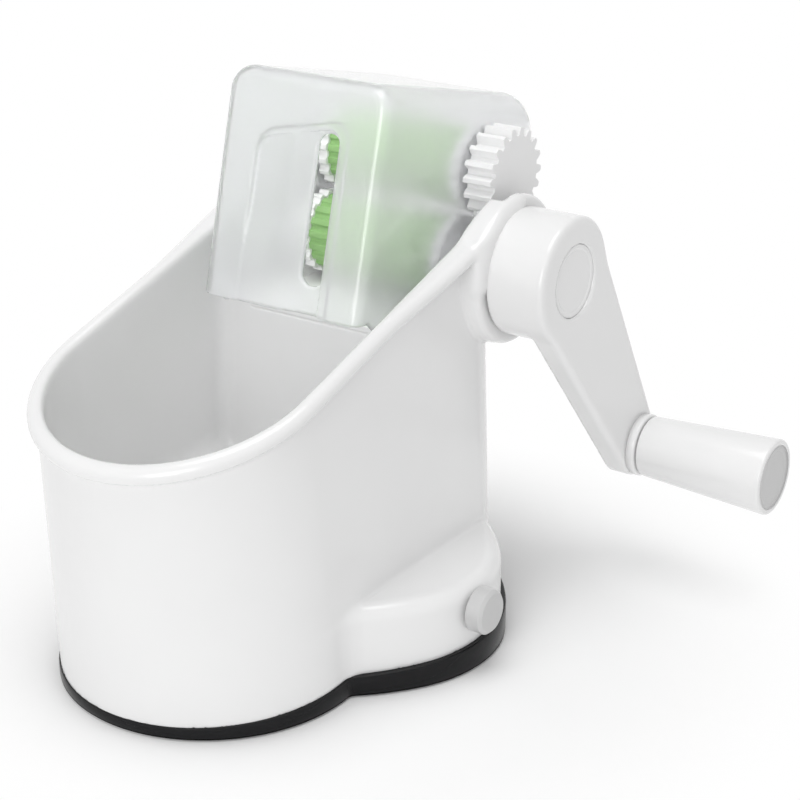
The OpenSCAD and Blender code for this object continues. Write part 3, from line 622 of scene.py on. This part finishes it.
# Turned pieces. The cap has a low rim round its face.
CAP_BACK_EDGE = 0.2
CAP_EDGE = 0.3
CAP_RIM = 1.3
CAP_RIM_FOOT = 1.8
CAP_SINK = 0.3
lathe_piece("crank_cap_disc",
            rounded([(CAP_IN, 0, 0), (CAP_IN, CAP_R, CAP_BACK_EDGE), (CAP_OUT, CAP_R, CAP_EDGE),
                     (CAP_OUT, CAP_R - CAP_RIM, CAP_EDGE),
                     (CAP_OUT - CAP_SINK, CAP_R - CAP_RIM_FOOT, CAP_EDGE), (CAP_OUT - CAP_SINK, 0, 0)]),
            LOW, "crank", "crank_cap", white)

COLLAR_IN, COLLAR_OUT, COLLAR_R, _ = turned("handle_collar")
COLLAR_EDGE = 0.8
PIN_R = 3.6
lathe_piece("handle_collar_ring",
            rounded([(COLLAR_IN, PIN_R, 0), (COLLAR_IN, COLLAR_R, 0), (COLLAR_OUT, COLLAR_R, COLLAR_EDGE),
                     (COLLAR_OUT, PIN_R, 0)]),
            HANDLE, "crank", "handle_collar", white)

# The grip widens to its end, where a dished disc sits in a seat; the pin's head is behind the disc
GRIP_IN, GRIP_OUT, GRIP_R, _ = turned("handle_grip")
GRIP_SMALL_R = 10.6
GRIP_IN_EDGE = 1.2
GRIP_OUT_EDGE = 1.9
HEAD_IN = 124.0
HEAD_R = 7.0
END_IN, END_OUT, END_CAP_R, _ = turned("grip_end_cap")
SEAT_GAP = 0.02
BACK_GAP = 0.1
END_SEAT_R = END_CAP_R + SEAT_GAP
DISC_BACK = END_IN + BACK_GAP
DISH = 0.5
DISH_RIM = 2.0
DISH_R = 2.0
lathe_piece("grip_skin",
            rounded([(GRIP_IN, PIN_R, 0), (GRIP_IN, GRIP_SMALL_R, GRIP_IN_EDGE),
                     (GRIP_OUT, GRIP_R, GRIP_OUT_EDGE), (GRIP_OUT, END_SEAT_R, 0), (END_IN, END_SEAT_R, 0),
                     (END_IN, HEAD_R, 0), (HEAD_IN, HEAD_R, 0), (HEAD_IN, PIN_R, 0)]),
            HANDLE, "grip", "handle_grip", white)
lathe_piece("grip_end_disc",
            rounded([(DISC_BACK, 0, 0), (DISC_BACK, END_CAP_R, 0), (END_OUT, END_CAP_R, 0),
                     (END_OUT - DISH, END_CAP_R - DISH_RIM, DISH_R), (END_OUT - DISH, 0, 0)]),
            HANDLE, "grip", "grip_end_cap", pale)

# The left cap flares from its neck to a flange
LEFT_OUT, LEFT_IN, FLANGE_R, _ = turned("left_cap")
NECK_R = 13.5
NECK_EDGE = 0.8
FLANGE_EDGE = 1.2
FLANGE_BACK_EDGE = 0.8
FLARE_FILLET = 1.5
FLANGE_T = 2.7
FLARE_T = 0.8
FLARE_OUT = LEFT_OUT + FLANGE_T
FLARE_IN = FLARE_OUT + FLARE_T
lathe_piece("left_cap_skin",
            rounded([(LEFT_IN, SHAFT_R, 0), (LEFT_IN, NECK_R, NECK_EDGE), (FLARE_IN, NECK_R, FLARE_FILLET),
                     (FLARE_OUT, FLANGE_R, FLANGE_BACK_EDGE), (LEFT_OUT, FLANGE_R, FLANGE_EDGE),
                     (LEFT_OUT, 0, 0)]),
            LOW, "crank", "left_cap", white)

KNOB_IN, KNOB_OUT, KNOB_R, _ = turned("suction_knob")
KNOB_BORE_R = 3.0
KNOB_EDGE = 0.5
KNOB_CHAMFER = 1.1
KNOB_END_EDGE = 0.4
lathe_piece("suction_knob_skin",
            rounded([(KNOB_IN, KNOB_BORE_R, 0), (KNOB_IN, KNOB_R, KNOB_EDGE),
                     (KNOB_OUT - KNOB_CHAMFER, KNOB_R, KNOB_EDGE),
                     (KNOB_OUT, KNOB_R - KNOB_CHAMFER, KNOB_END_EDGE), (KNOB_OUT, 0, 0)]),
            KNOB, "knob", "suction_knob", pale)

# Every CAD node gets its material; the ones that keep their own shape also get softened edges, this wide
look = {"white_plastic": white, "pale_plastic": pale, "black_plastic": black, "black_rubber": rubber,
        "steel": steel, "green_rubber": green, "frosted_plastic": frost}
soft_edge = {"base_ring": 0.6, "bottom_plate": 0.4, "feed_chute": 0.15, "lower_gear_right": 0.15,
             "lower_gear_left": 0.15, "upper_gear_right": 0.15, "upper_gear_left": 0.15,
             "lower_sleeve": 0.3, "upper_sleeve": 0.3, "lower_core": 0.3, "upper_core": 0.3}
EDGE_SEGMENTS = 2
EDGE_ANGLE = math.radians(32)
for part in frame["record"]["subparts"]:
    name = part["node"]
    ob = nodes[name]
    ob.data.materials.clear()
    ob.data.materials.append(gear_white if "gear" in name else look[part["material_slot"]])
    weld(ob)
    if name in soft_edge:
        bevel = ob.modifiers.new("edge", "BEVEL")
        bevel.width = soft_edge[name] * MM
        bevel.segments = EDGE_SEGMENTS
        bevel.limit_method = "ANGLE"
        bevel.angle_limit = EDGE_ANGLE
        bevel.harden_normals = False

# Floor, light and camera, in metres
scene = bpy.context.scene
scene.view_settings.view_transform = "Standard"


def shown_rays(tree):
    """1 for rays that show the background: from the camera, off gloss or through the cover."""
    path = tree.nodes.new("ShaderNodeLightPath")
    out = path.outputs["Is Camera Ray"]
    for ray in ("Is Glossy Ray", "Is Transmission Ray"):
        more = tree.nodes.new("ShaderNodeMath")
        more.operation = "MAXIMUM"
        tree.links.new(out, more.inputs[0])
        tree.links.new(path.outputs[ray], more.inputs[1])
        out = more.outputs[0]
    return out


# The floor fades to white away from the object
FLOOR_HW = 4
FLOOR_DROP = 0.0001
FADE_AT = (0.02, 0.05, 0)
FADE_FROM = 0.08
FADE_TO = 0.16
floor_mesh = bpy.data.meshes.new("floor")
floor_signs = [(-1, -1), (1, -1), (1, 1), (-1, 1)]
floor_corners = [(FLOOR_HW * a, FLOOR_HW * b, -FLOOR_DROP) for a, b in floor_signs]
floor_mesh.from_pydata(floor_corners, [], [(0, 1, 2, 3)])
floor = bpy.data.objects.new("floor", floor_mesh)
scene.collection.objects.link(floor)
floor_mat = plastic("floor_paper", (0.97, 0.97, 0.97), rough=0.8, shade=0.01, bump=0.0)
floor.data.materials.append(floor_mat)
fn = floor_mat.node_tree
place = fn.nodes.new("ShaderNodeTexCoord")
far = fn.nodes.new("ShaderNodeVectorMath")
far.operation = "DISTANCE"
far.inputs[1].default_value = FADE_AT
fn.links.new(place.outputs["Object"], far.inputs[0])
fade = fn.nodes.new("ShaderNodeMapRange")
fade.interpolation_type = "SMOOTHSTEP"
fade.inputs["From Min"].default_value = FADE_FROM
fade.inputs["From Max"].default_value = FADE_TO
fn.links.new(far.outputs["Value"], fade.inputs["Value"])
glow = fn.nodes.new("ShaderNodeEmission")
glow.inputs["Strength"].default_value = 1.0
share = fn.nodes.new("ShaderNodeMath")
share.operation = "MULTIPLY"
fn.links.new(fade.outputs["Result"], share.inputs[0])
fn.links.new(shown_rays(fn), share.inputs[1])
blend = fn.nodes.new("ShaderNodeMixShader")
fn.links.new(share.outputs[0], blend.inputs["Fac"])
fn.links.new(shader(floor_mat).outputs[0], blend.inputs[1])
fn.links.new(glow.outputs[0], blend.inputs[2])
fn.links.new(blend.outputs[0], fn.nodes["Material Output"].inputs["Surface"])

# White to look at, and a little weaker as a light
WORLD_LIGHT = 0.57
world = bpy.data.worlds.new("studio")
scene.world = world
world.use_nodes = True
wn = world.node_tree
bg = wn.nodes["Background"]
bg.inputs["Color"].default_value = (1, 1, 1, 1)
level = wn.nodes.new("ShaderNodeMapRange")
level.inputs["To Min"].default_value = WORLD_LIGHT
level.inputs["To Max"].default_value = 1.0
wn.links.new(shown_rays(wn), level.inputs["Value"])
wn.links.new(level.outputs["Result"], bg.inputs["Strength"])

LAMP_TARGET = Vector((0, 0.05, 0.08))


def lamp(name, place, size, power):
    """A round soft lamp that looks at the object."""
    data = bpy.data.lights.new(name, "AREA")
    data.shape = "DISK"
    data.size = size
    data.energy = power
    ob = bpy.data.objects.new(name, data)
    scene.collection.objects.link(ob)
    ob.location = place
    ob.rotation_euler = (LAMP_TARGET - Vector(place)).to_track_quat("-Z", "Y").to_euler()


lamp("key", place=(0.3, -1.0, 0.45), size=0.6, power=3.2)
lamp("top", place=(0.05, -0.05, 1.2), size=0.8, power=4.6)

CAMERA_AZ = math.radians(34.42)
CAMERA_EL = math.radians(22.36)
CAMERA_AT = (0.3660, -0.4285, 0.3217)
CAMERA_CLIP = 0.01
# These two in millimetres, as Blender has them
CAMERA_SENSOR = 36
CAMERA_LENS = 88.3
back = Vector((math.sin(CAMERA_AZ) * math.cos(CAMERA_EL), -math.cos(CAMERA_AZ) * math.cos(CAMERA_EL),
               math.sin(CAMERA_EL)))
right = Vector((math.cos(CAMERA_AZ), math.sin(CAMERA_AZ), 0))
cam_data = bpy.data.cameras.new("camera")
cam_data.sensor_width = CAMERA_SENSOR
cam_data.lens = CAMERA_LENS
cam_data.clip_start = CAMERA_CLIP
cam = bpy.data.objects.new("camera", cam_data)
scene.collection.objects.link(cam)
facing = Matrix((right, back.cross(right), back)).transposed().to_4x4()
cam.matrix_world = Matrix.Translation(CAMERA_AT) @ facing
scene.camera = cam
